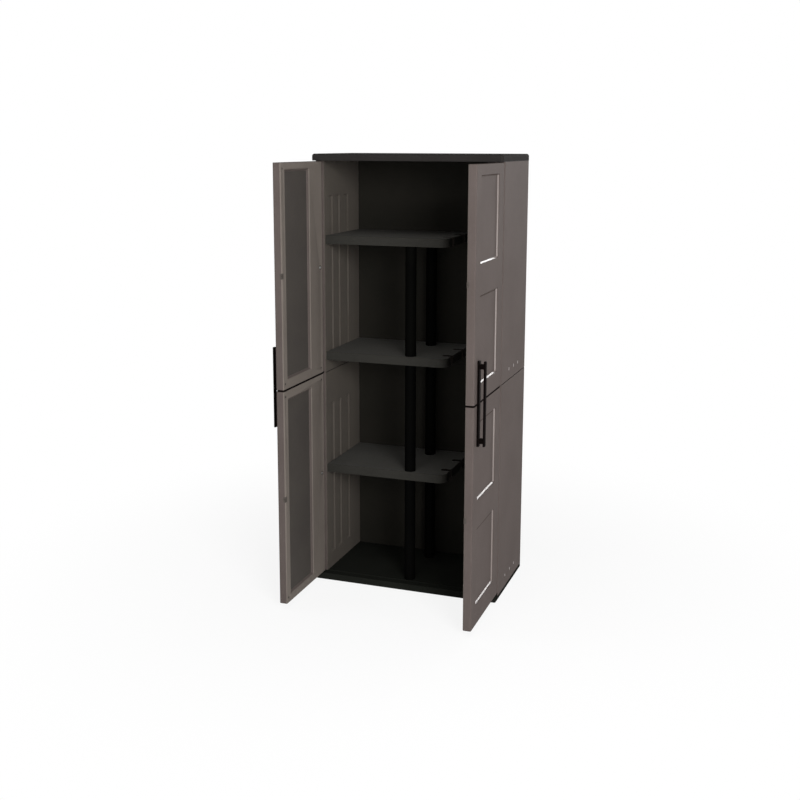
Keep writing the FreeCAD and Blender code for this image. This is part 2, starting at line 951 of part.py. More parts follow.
def door_shell(z0, z1, panels):
    """Outer half of a door half, with its recessed panels backed to an even thickness."""
    body = door_blank(z0, z1)
    hollow = door_plan(skin, z0).extrude(FreeCAD.Vector(0, 0, z1 - z0 - 2 * skin))
    hollow.translate(FreeCAD.Vector(0, 0, skin))
    body = body.cut(hollow).cut(inner_slice(z0, z1))
    y0 = along_door(recess_near_edge)
    y1 = along_door(recess_near_hinge)
    recess_floor = door_outer_x - recess_depth
    shapes = [backed_panel(door_outer_x, recess_floor, y0, y1, low, high) for low, high in panels]
    for recess, backing in shapes:
        body = body.fuse(backing)
    for recess, backing in shapes:
        body = body.cut(recess)
    for distance, z in screw_places(z0, z1):
        boss, pilot = screw_boss(screw_boss_size, along_door(distance), z)
        body = body.fuse(boss).cut(pilot)
    for z_end, inward in ((z0, 1), (z1, -1)):
        low, high = sorted((z_end + inward * past, z_end + inward * (pivot_hold + 2 * skin)))
        boss = upright(pivot_boss_radius, pivot_x, pivot_y, low, high)
        boss = boss.cut(inner_slice(z0, z1))
        bore_low, bore_high = sorted((z_end - inward * past, z_end + inward * pivot_hold))
        bore = upright(pivot_radius, pivot_x, pivot_y, bore_low, bore_high)
        body = body.fuse(boss).cut(bore)
    for z in catch_heights:
        body = body.cut(catch_block(z))
    for z in bolt_heights:
        if z0 < z < z1:
            boss, pilot = screw_boss(bolt_boss_size, along_door(screw_from_hinge), z)
            body = body.fuse(boss).cut(pilot)
    body = body.cut(joiner_block(joiner_play))
    y = along_door(handle_from_hinge)
    for side in (-1, 1):
        z = handle_middle + side * peg_offset
        body = body.cut(across(peg_radius, door_outer_x - skin - past, door_outer_x + past, y, z))
    return body


def door_skin(z0, z1, low, high):
    """Inner half of a door half: a sheet with one tall recessed panel."""
    body = door_blank(z0, z1).common(inner_slice(z0, z1))
    y0 = along_door(inner_recess_near_edge)
    y1 = along_door(inner_recess_near_hinge)
    recess_floor = door_inner_x + inner_recess_depth
    recess, backing = backed_panel(door_inner_x, recess_floor, y0, y1, low, high)
    body = body.fuse(backing).cut(recess)
    outside = door_inner_x - past
    shank_end = door_inner_x + skin + past
    for distance, z in screw_places(z0, z1):
        y = along_door(distance)
        head_end = door_inner_x + screw_head_depth
        head = across(screw_head_radius + screw_play, outside, head_end, y, z)
        shank = across(screw_shank_radius + screw_play, outside, shank_end, y, z)
        body = body.cut(head.fuse(shank))
    for z in catch_heights:
        body = body.cut(catch_block(z))
    for z in bolt_heights:
        if z0 < z < z1:
            y = along_door(screw_from_hinge)
            shank = across(screw_shank_radius, outside, shank_end, y, z)
            seat = across(washer_radius + screw_play, outside, door_inner_x + bolt_seat, y, z)
            body = body.cut(shank.fuse(seat))
    return body


def skin_screw(distance, z):
    """Countersunk screw that holds the inner skin on the outer shell."""
    y = along_door(distance)
    head_end = door_inner_x + screw_head_depth
    head = across(screw_head_radius, door_inner_x + screw_sink, head_end, y, z)
    shank = across(screw_shank_radius, head_end - screw_sink, door_inner_x + screw_length, y, z)
    return head.fuse(shank)


def hinge_bolt(z):
    """Pan-headed bolt in a counterbore, over its washer, beside the pivot."""
    y = along_door(screw_from_hinge)
    head_end = door_inner_x + bolt_seat - washer_thickness
    head = Part.makeCone(
        bolt_radius - bolt_taper,
        bolt_radius,
        bolt_head_height,
        FreeCAD.Vector(head_end - bolt_head_height, y, z),
        FreeCAD.Vector(1, 0, 0),
    )
    shank = across(screw_shank_radius, head_end - past, door_inner_x + screw_length, y, z)
    return head.fuse(shank)


def bolt_washer(z):
    y = along_door(screw_from_hinge)
    seat = door_inner_x + bolt_seat
    ring = across(washer_radius, seat - washer_thickness, seat, y, z)
    return ring.cut(across(screw_shank_radius, seat - washer_thickness - past, seat + past, y, z))


def catch_socket(z):
    """Left-door catch block with a round dimple in the free edge."""
    body = catch_block(z)
    middle = FreeCAD.Vector(door_inner_x + catch_depth / 2, free_edge_y + dimple_offset, z)
    return body.cut(Part.makeSphere(dimple_radius, middle))


def catch_stud(z):
    """Right-door catch block with a round stud that stands a little out of the free edge."""
    body = catch_block(z)
    middle = FreeCAD.Vector(door_inner_x + catch_depth / 2, free_edge_y + stud_offset, z)
    return body.fuse(Part.makeSphere(stud_radius, middle))


pin_end_gap = 0.2


def hinge_pins():
    """Right-door pins as (name, bottom, top): in the base, through the plate, in the lid."""
    reach = pivot_reach - pin_end_gap
    spans = (
        ("base", base_height - reach, door_bottom + pivot_hold),
        ("middle", lower_top - pivot_hold, upper_bottom + pivot_hold),
        ("lid", door_top - pivot_hold, lid_underside + reach),
    )
    return [(name, upright(pivot_radius, pivot_x, pivot_y, low, high)) for name, low, high in spans]


def build_doors():
    halves = (
        ("lower", door_bottom, lower_top, lower_panels, lower_inner_panel),
        ("upper", upper_bottom, door_top, upper_panels, upper_inner_panel),
    )
    for level, z0, z1, panels, inner_panel in halves:
        shell = door_shell(z0, z1, panels)
        sheet = door_skin(z0, z1, *inner_panel)
        save(shell, "door_shell_" + level + "_right")
        save(sheet, "door_skin_" + level + "_right")
        save(mirrored(shell), "door_shell_" + level + "_left")
        save(mirrored(sheet), "door_skin_" + level + "_left")
    grip = handle()
    save(grip, "handle_right")
    save(mirrored(grip), "handle_left")
    joiner = joiner_block(0.0).fuse(joiner_strip())
    places = screw_places(door_bottom, lower_top) + screw_places(upper_bottom, door_top)
    for distance, z in places:
        pilot = across(screw_shank_radius, door_inner_x, door_outer_x, along_door(distance), z)
        joiner = joiner.cut(pilot)
    save(joiner, "joiner_right")
    save(mirrored(joiner), "joiner_left")
    screws = Part.makeCompound([skin_screw(distance, z) for distance, z in places])
    bolts = Part.makeCompound([hinge_bolt(z) for z in bolt_heights])
    washers = Part.makeCompound([bolt_washer(z) for z in bolt_heights])
    studs = Part.makeCompound([catch_stud(z) for z in catch_heights])
    sockets = Part.makeCompound([mirrored(catch_socket(z)) for z in catch_heights])
    for group, name in ((screws, "skin_screws"), (bolts, "hinge_bolts"), (washers, "bolt_washers")):
        save(group, name + "_right")
        save(mirrored(group), name + "_left")
    save(studs, "catch_studs_right")
    save(sockets, "catch_sockets_left")
    for name, pin in hinge_pins():
        save(pin, "hinge_pin_" + name + "_right")
        save(mirrored(pin), "hinge_pin_" + name + "_left")


build_base()
build_lid()
build_sides()
build_clips()
build_hinge_plates()
build_back()
build_back_strip()
build_shelves()
build_posts()
build_doors()
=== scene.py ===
import json
import math
import bpy
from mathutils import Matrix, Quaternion, Vector


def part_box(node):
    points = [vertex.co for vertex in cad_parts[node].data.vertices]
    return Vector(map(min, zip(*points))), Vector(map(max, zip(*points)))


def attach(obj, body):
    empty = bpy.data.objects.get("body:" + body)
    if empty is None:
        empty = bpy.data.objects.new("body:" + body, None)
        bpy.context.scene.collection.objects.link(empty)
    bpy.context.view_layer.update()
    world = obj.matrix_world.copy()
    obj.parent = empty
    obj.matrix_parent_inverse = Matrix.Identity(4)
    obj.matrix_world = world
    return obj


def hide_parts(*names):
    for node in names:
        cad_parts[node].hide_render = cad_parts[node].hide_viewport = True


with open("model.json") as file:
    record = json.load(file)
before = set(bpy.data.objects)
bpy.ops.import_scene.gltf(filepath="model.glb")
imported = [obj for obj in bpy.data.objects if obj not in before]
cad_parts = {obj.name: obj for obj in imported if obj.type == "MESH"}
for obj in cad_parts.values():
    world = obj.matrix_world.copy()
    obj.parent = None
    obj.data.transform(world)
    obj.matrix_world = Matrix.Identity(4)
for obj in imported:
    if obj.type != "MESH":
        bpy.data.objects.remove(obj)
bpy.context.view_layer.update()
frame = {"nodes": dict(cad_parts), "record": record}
nodes = frame["nodes"]
mm = 0.001
# places closer than tiny count as the same; past is how far a cutter reaches beyond a face
tiny = 0.2 * mm
past = 1 * mm
# a face whose normal has more than this along an axis looks straight that way
straight = 0.9


def deselectAll():
    if bpy.context.object and bpy.context.object.mode == "EDIT":
        bpy.ops.object.mode_set(mode="OBJECT")
    bpy.ops.object.select_all(action="DESELECT")


def makeActive(obj):
    deselectAll()
    obj.select_set(True)
    bpy.context.view_layer.objects.active = obj


def rename(obj, name):
    obj.name = name
    obj.data.name = name


def addBox(name, low, high):
    # a cube at its size and place, the start of most mouldings here
    deselectAll()
    centre = [(a + b) / 2 for a, b in zip(low, high)]
    bpy.ops.mesh.primitive_cube_add(size=1, location=centre)
    obj = bpy.context.object
    rename(obj, name)
    obj.scale = [abs(b - a) for a, b in zip(low, high)]
    bpy.ops.object.transform_apply(location=True, rotation=True, scale=True)
    return obj


def addUprightTube(name, x, y, low, high, radius, sides=64):
    deselectAll()
    bpy.ops.mesh.primitive_cylinder_add(
        vertices=sides, radius=radius, depth=high - low, location=(x, y, (low + high) / 2))
    obj = bpy.context.object
    rename(obj, name)
    bpy.ops.object.transform_apply(location=True, rotation=True, scale=True)
    return obj


def addLevelTube(name, x0, x1, y, z, radius, sides=32):
    # lies along X, like the screws in the doors
    deselectAll()
    bpy.ops.mesh.primitive_cylinder_add(
        vertices=sides, radius=radius, depth=x1 - x0, location=((x0 + x1) / 2, y, z),
        rotation=(0, math.pi / 2, 0))
    obj = bpy.context.object
    rename(obj, name)
    bpy.ops.object.transform_apply(location=True, rotation=True, scale=True)
    return obj


def editFaces(obj, test):
    # edit mode with the faces selected whose centre and normal pass the test
    makeActive(obj)
    bpy.ops.object.mode_set(mode="EDIT")
    bpy.ops.mesh.select_mode(type="FACE")
    bpy.ops.mesh.select_all(action="DESELECT")
    bpy.ops.object.mode_set(mode="OBJECT")
    for face in obj.data.polygons:
        face.select = bool(test(face.center, face.normal))
    bpy.ops.object.mode_set(mode="EDIT")


def editEdges(obj, test):
    # edit mode with the edges selected whose two ends pass the test
    makeActive(obj)
    bpy.ops.object.mode_set(mode="EDIT")
    bpy.ops.mesh.select_mode(type="EDGE")
    bpy.ops.mesh.select_all(action="DESELECT")
    bpy.ops.object.mode_set(mode="OBJECT")
    points = obj.data.vertices
    for edge in obj.data.edges:
        edge.select = bool(test(points[edge.vertices[0]].co, points[edge.vertices[1]].co))
    bpy.ops.object.mode_set(mode="EDIT")


def roundEdges(obj, test, width, steps):
    editEdges(obj, test)
    bpy.ops.mesh.bevel(offset=width, segments=steps, affect="EDGES", clamp_overlap=True)
    bpy.ops.object.mode_set(mode="OBJECT")


def near(a, b):
    return abs(a - b) < tiny


def isLevelX(a, b):
    return near(a.y, b.y) and near(a.z, b.z) and not near(a.x, b.x)


def isUpright(a, b):
    return near(a.x, b.x) and near(a.y, b.y) and not near(a.z, b.z)


def useModifier(obj, kind, **settings):
    makeActive(obj)
    modifier = obj.modifiers.new(kind.title(), kind)
    for key, value in settings.items():
        setattr(modifier, key, value)
    bpy.ops.object.modifier_apply(modifier=modifier.name)


def cutWith(obj, cutters):
    for cutter in cutters:
        useModifier(obj, "BOOLEAN", operation="DIFFERENCE", solver="EXACT", object=cutter)
        bpy.data.objects.remove(cutter, do_unlink=True)


def joinInto(obj, others):
    makeActive(obj)
    for other in others:
        other.select_set(True)
    bpy.ops.object.join()
    return obj


def coat(obj, *finishes):
    # the first finish covers the piece, the others wait in their slots
    obj.data.materials.clear()
    for finish in finishes:
        obj.data.materials.append(finish)


def paintFaces(obj, finish, test):
    # the finish is one of those that the piece was coated with
    slotIndex = obj.data.materials.find(finish.name)
    for face in obj.data.polygons:
        if test(face.center, face.normal):
            face.material_index = slotIndex


# edges crisper than crispAngle are rounded, and up to smoothAngle the shading runs on
softening = {"crispAngle": math.radians(28), "smoothAngle": math.radians(40), "weight": 60}


def softenEdges(obj, width, steps=3, rubbedSlot=-1):
    # rounds every crisp edge of the moulding, and keeps the broad faces flat in the shading
    useModifier(obj, "BEVEL", width=width, segments=steps, limit_method="ANGLE",
                angle_limit=softening["crispAngle"], use_clamp_overlap=True, material=rubbedSlot)
    makeActive(obj)
    bpy.ops.object.shade_smooth_by_angle(angle=softening["smoothAngle"])
    useModifier(obj, "WEIGHTED_NORMAL", keep_sharp=True, weight=softening["weight"])


def copyOf(obj, name):
    makeActive(obj)
    bpy.ops.object.duplicate(linked=False)
    rename(bpy.context.object, name)
    return bpy.context.object


def mirrorCopy(obj, name):
    # the left-hand piece is the right-hand one turned over in the mirror
    twin = copyOf(obj, name)
    bpy.ops.transform.resize(value=(-1, 1, 1), center_override=(0, 0, 0))
    bpy.ops.object.transform_apply(location=True, rotation=True, scale=True)
    bpy.ops.object.mode_set(mode="EDIT")
    bpy.ops.mesh.select_all(action="SELECT")
    bpy.ops.mesh.normals_make_consistent(inside=False)
    bpy.ops.object.mode_set(mode="OBJECT")
    return twin


def fit(obj, body, slot, *standsFor):
    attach(obj, body)
    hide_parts(*standsFor)


def linearColour(code):
    # sRGB hex to linear, by the standard's curve
    channels = [int(code[i:i + 2], 16) / 255 for i in (1, 3, 5)]
    linear = [c / 12.92 if c <= 0.04045 else ((c + 0.055) / 1.055) ** 2.4 for c in channels]
    return (*linear, 1.0)


def addNode(tree, kind, settings=None, links=None):
    # one node: settings by attribute or socket, links by socket
    node = tree.nodes.new(kind)
    for key, value in (settings or {}).items():
        if isinstance(key, int) or key in node.inputs:
            node.inputs[key].default_value = value
        else:
            setattr(node, key, value)
    for key, source in (links or {}).items():
        tree.links.new(source, node.inputs[key])
    return node


def newMaterial(name):
    material = bpy.data.materials.new(name)
    material.use_nodes = True
    material.node_tree.nodes.clear()
    return material, material.node_tree


def mouldedPlastic(name, look):
    # Injection-moulded polypropylene: an even satin skin with the fine pebble grain of the
    # spark-eroded mould, faint flow clouds in the colour and duller, dusty specks. The real
    # grain is about 0.8 mm; it is drawn coarser, at the size in the look, so that it still shows.
    material, tree = newMaterial(name)
    place = addNode(tree, "ShaderNodeTexCoord").outputs["Object"]
    clouds = addNode(tree, "ShaderNodeTexNoise",
                     {"Scale": 1 / look["cloudSize"], "Detail": 4.0, "Roughness": 0.55},
                     {"Vector": place})
    specks = addNode(tree, "ShaderNodeTexNoise",
                     {"Scale": 1 / look["speckSize"], "Detail": 3.0, "Roughness": 0.6},
                     {"Vector": place})
    pebbles = addNode(tree, "ShaderNodeTexVoronoi",
                      {"feature": "SMOOTH_F1", "Scale": 1 / look["grainSize"], "Smoothness": 0.6},
                      {"Vector": place})
    haze = addNode(tree, "ShaderNodeTexNoise",
                   {"Scale": 2 / look["grainSize"], "Detail": 2.0, "Roughness": 0.5},
                   {"Vector": place})
    cloudShare = addNode(tree, "ShaderNodeMapRange", {"From Min": 0.35, "From Max": 0.65},
                         {"Value": clouds.outputs["Fac"]})
    base = addNode(tree, "ShaderNodeMix",
                   {"data_type": "RGBA", 6: linearColour(look["colour"]),
                    7: linearColour(look["cloudColour"])},
                   {0: cloudShare.outputs["Result"]})
    speckShare = addNode(tree, "ShaderNodeMapRange",
                         {"From Min": 0.52, "From Max": 0.72, "To Max": look["speckShare"]},
                         {"Value": specks.outputs["Fac"]})
    colour = addNode(tree, "ShaderNodeMix",
                     {"data_type": "RGBA", 7: linearColour(look["speckColour"])},
                     {0: speckShare.outputs["Result"], 6: base.outputs[2]})
    rough = addNode(tree, "ShaderNodeMapRange",
                    {"From Min": 0.3, "From Max": 0.7, "To Min": look["roughness"][0],
                     "To Max": look["roughness"][1]}, {"Value": specks.outputs["Fac"]})
    relief = addNode(tree, "ShaderNodeMath", {"operation": "ADD"},
                     {0: pebbles.outputs["Distance"], 1: haze.outputs["Fac"]})
    bump = addNode(tree, "ShaderNodeBump",
                   {"Strength": look["grainStrength"], "Distance": look["grainDepth"]},
                   {"Height": relief.outputs[0]})
    shader = addNode(tree, "ShaderNodeBsdfPrincipled",
                     {"IOR": 1.49, "Specular IOR Level": look["gloss"]},
                     {"Base Color": colour.outputs[2], "Roughness": rough.outputs["Result"],
                      "Normal": bump.outputs["Normal"]})
    addNode(tree, "ShaderNodeOutputMaterial", None, {"Surface": shader.outputs["BSDF"]})
    return material


def platedSteel(name, look):
    # Plated steel fasteners: metal under a thin crystalline coat, mottled and dulled outdoors.
    material, tree = newMaterial(name)
    place = addNode(tree, "ShaderNodeTexCoord").outputs["Object"]
    stains = addNode(tree, "ShaderNodeTexNoise", {"Scale": 1 / look["stainSize"], "Detail": 4.0},
                     {"Vector": place})
    stainShare = addNode(tree, "ShaderNodeMapRange", {"From Min": 0.4, "From Max": 0.65},
                         {"Value": stains.outputs["Fac"]})
    colour = addNode(tree, "ShaderNodeMix",
                     {"data_type": "RGBA", 6: linearColour(look["colour"]),
                      7: linearColour(look["stainColour"])},
                     {0: stainShare.outputs["Result"]})
    rough = addNode(tree, "ShaderNodeMapRange",
                    {"To Min": look["roughness"][0], "To Max": look["roughness"][1]},
                    {"Value": stains.outputs["Fac"]})
    bump = addNode(tree, "ShaderNodeBump", {"Strength": 0.15, "Distance": 0.3 * mm},
                   {"Height": stains.outputs["Fac"]})
    shader = addNode(tree, "ShaderNodeBsdfPrincipled", {"Metallic": 1.0},
                     {"Base Color": colour.outputs[2], "Roughness": rough.outputs["Result"],
                      "Normal": bump.outputs["Normal"]})
    addNode(tree, "ShaderNodeOutputMaterial", None, {"Surface": shader.outputs["BSDF"]})
    return material


# the taupe of doors and walls: matt on the broad faces
taupeLook = {
    "colour": "#554D4A", "cloudColour": "#514946", "speckColour": "#605855",
    "cloudSize": 180 * mm, "speckSize": 9 * mm, "speckShare": 0.22,
    "grainSize": 3.0 * mm, "grainStrength": 0.22, "grainDepth": 0.5 * mm,
    "roughness": (0.62, 0.72), "gloss": 0.035,
}
# painted shade on the doors' ends, on the upper sides of their recesses and on the strips under
# them: the dullest and darkest of the taupe
taupeShadeDullLook = dict(taupeLook, colour="#4A423F", cloudColour="#463E3B", speckColour="#544C49",
                    roughness=(0.75, 0.85), gloss=0.0)
# the doors' inner skins, a shade paler: painted light that lifts the shade on the open door's inner
# face
taupeSkinLitLook = dict(taupeLook, colour="#6B645E", cloudColour="#67605A", speckColour="#766F69")
# edges rubbed a little smoother by hands and weather
taupeRubbedLook = dict(taupeLook, colour="#5D5551", cloudColour="#59514D", roughness=(0.46, 0.56),
                       grainStrength=0.1, gloss=0.2)
# the drafted sides of the recesses, which come smooth and shiny out of the mould, with a painted
# highlight in their paler colour; the clips wear it too
taupeDraftHighlightLook = dict(taupeLook, colour="#746A66", cloudColour="#6F6561", roughness=(0.26, 0.34),
                      grainStrength=0.06, gloss=0.7)
# painted shade for the bottoms of the joints, the gaps between the door halves, the bolt seats and
# the sides of the shelves' slots
hollowShadeLook = dict(taupeLook, colour="#1F1B19", cloudColour="#1B1816", speckColour="#2A2522",
                 gloss=0.0)
# the sunk floors of the doors' inner skins: darker, with a coarser grain
taupeCoarseLook = dict(taupeLook, colour="#47433F", cloudColour="#433F3C", speckColour="#524D49",
                       grainSize=4.5 * mm, grainStrength=0.5, roughness=(0.65, 0.75))
# the small catch blocks, whose colour shows a shade darker
taupeCatchLook = dict(taupeLook, colour="#4B4642", cloudColour="#47423E", speckColour="#55504B")
# the wall liners inside the carcass, a touch darker than the outer walls: painted shade
taupeLinerShadedLook = dict(taupeLook, colour="#524D47", cloudColour="#4E4944", speckColour="#5C5751")
# the liners' rubbed edges, and the painted shade on the sides of their channels: darker still
taupeLinerWearAndShadeLook = dict(taupeLinerShadedLook, colour="#433E39", roughness=(0.55, 0.65),
                           grainStrength=0.1, gloss=0.02)
# lid, and the start of all the black and grey looks: near black, with almost no shine; the lid's
# colour, a shade paler than the base's black of the same plastic, is painted light
charcoalLook = {
    "colour": "#2A2827", "cloudColour": "#262423", "speckColour": "#363433",
    "cloudSize": 200 * mm, "speckSize": 8 * mm, "speckShare": 0.22,
    "grainSize": 3.0 * mm, "grainStrength": 0.2, "grainDepth": 0.5 * mm,
    "roughness": (0.6, 0.7), "gloss": 0.005,
}
charcoalEdgeLook = dict(charcoalLook, colour="#2C2A2A", roughness=(0.42, 0.52), grainStrength=0.08,
                        gloss=0.02)
blackLook = dict(charcoalLook, colour="#1D1E1B", cloudColour="#1A1B18", speckColour="#262623",
                 roughness=(0.58, 0.7), gloss=0.0)
blackEdgeLook = dict(blackLook, colour="#1B1C19", roughness=(0.4, 0.5), grainStrength=0.08,
                     gloss=0.01)
shelfLook = dict(charcoalLook, colour="#2E2D2A", cloudColour="#2A2926", speckColour="#383734",
                 gloss=0.05)
shelfEdgeLook = dict(shelfLook, colour="#31302D", roughness=(0.5, 0.6), grainStrength=0.1)
# the shelves' upper faces, painted lighter for the light that falls on them, with a coarse grain
# against slipping
shelfTopLitLook = dict(shelfLook, colour="#484744", cloudColour="#444340", speckColour="#555450",
                    grainSize=4.0 * mm, grainStrength=0.5)
# the back panels, a cheaper black with a little grey in it
backLook = dict(charcoalLook, colour="#211F1B", cloudColour="#1D1C18", speckColour="#292722",
                roughness=(0.6, 0.7), gloss=0.07)
backEdgeLook = dict(backLook, colour="#262420", roughness=(0.45, 0.55), grainStrength=0.08)
# extruded tubes, smoother and blacker than the mouldings
postLook = dict(charcoalLook, colour="#040404", cloudColour="#060605", speckColour="#0B0B0B",
                grainSize=2.6 * mm, grainStrength=0.1, roughness=(0.55, 0.65), gloss=0.01)
handleLook = dict(charcoalLook, colour="#0A0706", cloudColour="#080505", speckColour="#130F0E",
                  roughness=(0.5, 0.6), gloss=0.01)
handleEdgeLook = dict(handleLook, colour="#0F0B0A", roughness=(0.42, 0.52), grainStrength=0.06,
                      gloss=0.02)
# zinc plate, bright with dull grey stains
steelLook = {
    "colour": "#C9CBCC", "stainColour": "#A3A19D", "stainSize": 4 * mm, "roughness": (0.22, 0.42),
}
# the skins' screws and the hinge pins are phosphated, a dull dark grey that reads as a dark dot
darkSteelLook = {
    "colour": "#2B2A29", "stainColour": "#201F1E", "stainSize": 3 * mm, "roughness": (0.45, 0.6),
}

taupe = mouldedPlastic("taupeMouldedPolypropylene", taupeLook)
taupeSkinLit = mouldedPlastic("taupePolypropyleneInnerSkin", taupeSkinLitLook)
taupeRubbed = mouldedPlastic("taupePolypropyleneRubbedEdge", taupeRubbedLook)
taupeDraftHighlight = mouldedPlastic("taupePolypropyleneSmoothDraft", taupeDraftHighlightLook)
taupeShadeDull = mouldedPlastic("taupePolypropyleneDullEnd", taupeShadeDullLook)
hollowShade = mouldedPlastic("taupePolypropyleneDirtyJoint", hollowShadeLook)
taupeCoarse = mouldedPlastic("taupePolypropyleneCoarseGrain", taupeCoarseLook)
taupeLinerShaded = mouldedPlastic("taupePolypropyleneWallLiner", taupeLinerShadedLook)
taupeLinerWearAndShade = mouldedPlastic("taupeLinerRubbedEdge", taupeLinerWearAndShadeLook)
taupeCatch = mouldedPlastic("taupeCatchPolypropylene", taupeCatchLook)
lidCharcoalLit = mouldedPlastic("charcoalMouldedPolypropylene", charcoalLook)
charcoalEdge = mouldedPlastic("charcoalPolypropyleneRubbedEdge", charcoalEdgeLook)
black = mouldedPlastic("blackMouldedPolypropylene", blackLook)
blackEdge = mouldedPlastic("blackPolypropyleneRubbedEdge", blackEdgeLook)
backBlack = mouldedPlastic("blackBackPolypropylene", backLook)
backEdge = mouldedPlastic("blackBackRubbedEdge", backEdgeLook)
shelfGrey = mouldedPlastic("greyMouldedPolypropylene", shelfLook)
shelfEdge = mouldedPlastic("greyPolypropyleneRubbedEdge", shelfEdgeLook)
shelfTopLit = mouldedPlastic("greyPolypropyleneTreadGrain", shelfTopLitLook)
postBlack = mouldedPlastic("blackExtrudedPolypropylene", postLook)
handleBlack = mouldedPlastic("blackHandlePolypropylene", handleLook)
handleEdge = mouldedPlastic("blackHandleRubbedEdge", handleEdgeLook)
steel = platedSteel("zincPlatedSteel", steelLook)
darkSteel = platedSteel("phosphatedSteel", darkSteelLook)
finishOf = {"wall": taupe, "dark": black, "shelf": shelfGrey, "post": postBlack,
            "handle": handleBlack, "steel": steel}
# nodes whose finish differs from the rest of their slot, by the start of their name; the joiner's
# near black is painted shade in the gap between the door halves
ownFinish = {"catch": taupeCatch, "joiner": handleBlack, "hinge_pin": darkSteel}

slotOf = {part["node"]: part["material_slot"] for part in frame["record"]["subparts"]}
for node, slotName in slotOf.items():
    surface = nodes[node].data.materials
    surface.clear()
    own = [finish for start, finish in ownFinish.items() if node.startswith(start)]
    surface.append(own[0] if own else finishOf[slotName])
print("materials done")


# doors: each half is one block with its recesses, parted into outer shell and inner skin;
# spans across the door are measured from its hinge edge, heights from the floor
door = {
    "sheet": 3 * mm, "edgeSoftness": 1.1 * mm, "cutterReach": 10 * mm,
    "hingeRound": 14.9 * mm, "hingeSteps": 12, "freeRound": 5 * mm, "freeSteps": 5,
    "endRound": 1.5 * mm, "endSteps": 4,
    "outerSpan": (72 * mm, 303 * mm), "outerDepth": 7 * mm,
    "innerSpan": (118 * mm, 326 * mm), "innerDepth": 9 * mm,
    "slopeRun": 4.3 * mm, "outerCorner": 6 * mm, "innerCorner": 0.0, "cornerSteps": 4,
    "outerPanels": {"lower": ((0.101, 0.378), (0.478, 0.752)),
                    "upper": ((0.880, 1.180), (1.284, 1.572))},
    "innerPanels": {"lower": (0.0515, 0.783), "upper": (0.849, 1.5855)},
    # how far the painted shade reaches below the upper side of each outer recess
    "dirtDrop": {"lower": (9 * mm, 7 * mm), "upper": (4.5 * mm, 1.5 * mm)},
    # a recess side lies at least this far from the upright edges and from the inner face
    "sideMargin": 20 * mm, "sideDepth": 15 * mm, "slopeTilt": (0.2, 0.95), "shadedTilt": 0.3,
    # the dull finish of the ends runs this far round, over all that tilts so much to the end
    "endReach": 2 * mm, "endTilt": 0.2,
}
screw = {
    "fromHinge": (30 * mm, 343 * mm), "fromEnd": 20 * mm, "headRadius": 4 * mm,
    "holePlay": 0.2 * mm, "headTop": 0.4 * mm, "headFoot": 2.2 * mm, "slotWidth": 1.1 * mm,
    "slotLength": 4.6 * mm, "slotDepth": 1.1 * mm, "crownRound": 0.6 * mm,
}
bolt = {
    "fromHinge": 30 * mm, "heights": {"lower": 0.427, "upper": 1.218}, "headRadius": 5 * mm,
    "headTop": -0.8 * mm, "headFoot": 1.2 * mm, "slotWidth": 1.3 * mm, "slotLength": 5.8 * mm,
    "slotDepth": 1.2 * mm, "crownRound": 0.8 * mm, "seatRadius": 7.7 * mm, "seatDepth": 2.2 * mm,
}
crown = {"steps": 3, "smoothAngle": math.radians(35)}
catch = {
    "heights": {"lower": 0.420, "upper": 1.220}, "depth": 9.1 * mm, "reach": 12.1 * mm,
    "halfHeight": 10.1 * mm, "cutterReach": 5 * mm,
}

halves = {}
for level in ("lower", "upper"):
    low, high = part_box("door_shell_" + level + "_right")
    halves[level] = (low[2], high[2])
outerX = high[0]
freeEdge = low[1]
hingeEdge = high[1]
innerX = low[0] - door["sheet"]
seamEnd = {"lower": halves["lower"][1] - screw["fromEnd"],
           "upper": halves["upper"][0] + screw["fromEnd"]}


def screwPlaces(level):
    bottom, top = halves[level]
    farY = hingeEdge - screw["fromHinge"][1]
    return ((farY, bottom + screw["fromEnd"]), (farY, top - screw["fromEnd"]),
            (hingeEdge - screw["fromHinge"][0], seamEnd[level]))


def panelCutter(faceX, inward, depth, run, corner, span, rise):
    # a block with rounded corners and a chamfered far rim, so the recess gets sloping sides
    outside = faceX - inward * door["cutterReach"]
    floor = faceX + inward * depth
    cutter = addBox("cutter", (min(outside, floor), hingeEdge - span[1], rise[0]),
                    (max(outside, floor), hingeEdge - span[0], rise[1]))
    if corner > 0:
        roundEdges(cutter, isLevelX, corner, door["cornerSteps"])
    editFaces(cutter, lambda centre, normal: near(centre.x, floor) and abs(normal.x) > straight)
    bpy.ops.mesh.bevel(offset=run, segments=1, affect="EDGES")
    bpy.ops.object.mode_set(mode="OBJECT")
    return cutter


def isRecessSide(centre):
    # between the upright edges of the door, on its outer half
    between = freeEdge + door["sideMargin"] < centre.y < hingeEdge - door["sideMargin"]
    return between and centre.x > innerX + door["sideDepth"]


def isShadedSide(centre, normal):
    # the upper sides of the outer recesses, which face the ground and are painted with shade
    return isRecessSide(centre) and normal.z < -door["shadedTilt"]


def isDraft(centre, normal):
    # the other sides of the outer recesses, where they slope and are painted with a highlight
    slopes = door["slopeTilt"][0] < abs(normal.x) < door["slopeTilt"][1]
    return isRecessSide(centre) and slopes and normal.z > -door["shadedTilt"]


def isInnerFloor(centre, normal):
    return near(centre.x, innerX + door["innerDepth"]) and abs(normal.x) > straight


